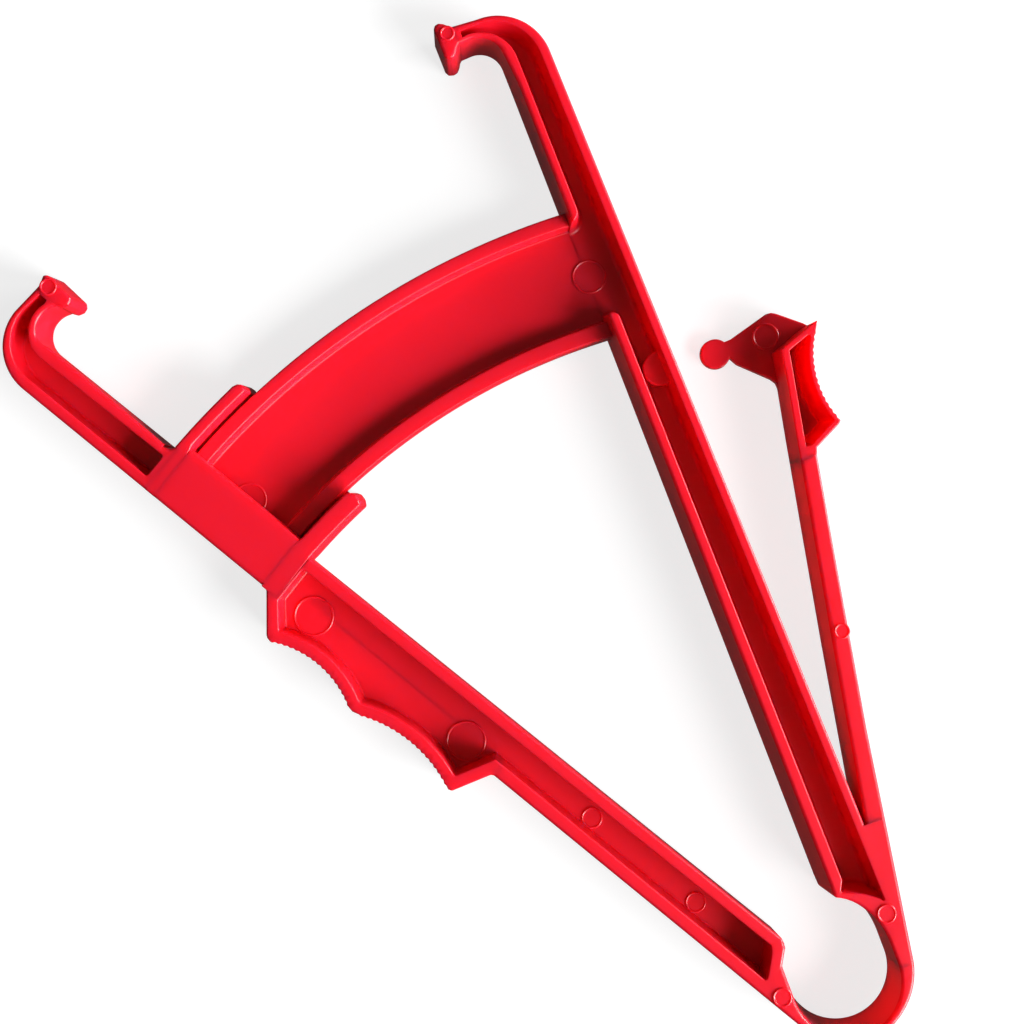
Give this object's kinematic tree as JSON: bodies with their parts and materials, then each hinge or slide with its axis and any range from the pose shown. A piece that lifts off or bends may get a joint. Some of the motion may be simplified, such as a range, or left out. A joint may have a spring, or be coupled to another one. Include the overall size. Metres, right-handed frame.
{
  "type": "skinfold caliper",
  "caption": "One-piece plastic skinfold caliper with two sprung arms, jaw pads, a sliding scale arc and a thumb lever with a pressure pointer.",
  "frame": {"origin": "centre of the round spring eye that joins the arms, on the front plane the tool lies on", "axes": "+Y along the main arm from the eye to its jaw, +Z out of the open ribbed back, the grip arm on the -X side"},
  "size_m": [0.1355, 0.1945, 0.01],
  "materials": {
    "red_plastic": "gloss",
    "scale_ink": "matte"
  },
  "bodies": {
    "main": {"main_arm": "red_plastic", "main_jaw": "red_plastic", "scale_arc": "red_plastic", "scale_marks": "scale_ink", "spring_ring": "red_plastic"},
    "grip": {"grip_arm_upper": "red_plastic", "grip_jaw": "red_plastic", "upper_guide": "red_plastic", "lower_guide": "red_plastic", "sleeve_back_plate": "red_plastic", "sleeve_front_plate": "red_plastic", "finger_grip": "red_plastic", "grip_arm_lower": "red_plastic"},
    "lever": {"lever_beam": "red_plastic", "thumb_pad": "red_plastic", "pressure_pointer": "red_plastic"}
  },
  "joints": [
    {"name": "arm_squeeze", "type": "hinge", "parent": "main", "child": "grip", "pos_m": [-0.0063, 0, 0], "axis": [0, 0, -1], "range_deg": [0, 25.1], "stiffness_Nm_per_rad": 0.2, "deforming": ["spring_ring"]},
    {"name": "thumb_press", "type": "hinge", "parent": "main", "child": "lever", "pos_m": [0.0194, 0.045, 0], "axis": [0, 0, 1], "range_deg": [0, 4.4], "stiffness_Nm_per_rad": 0.75, "deforming": ["lever_beam"]}
  ]
}
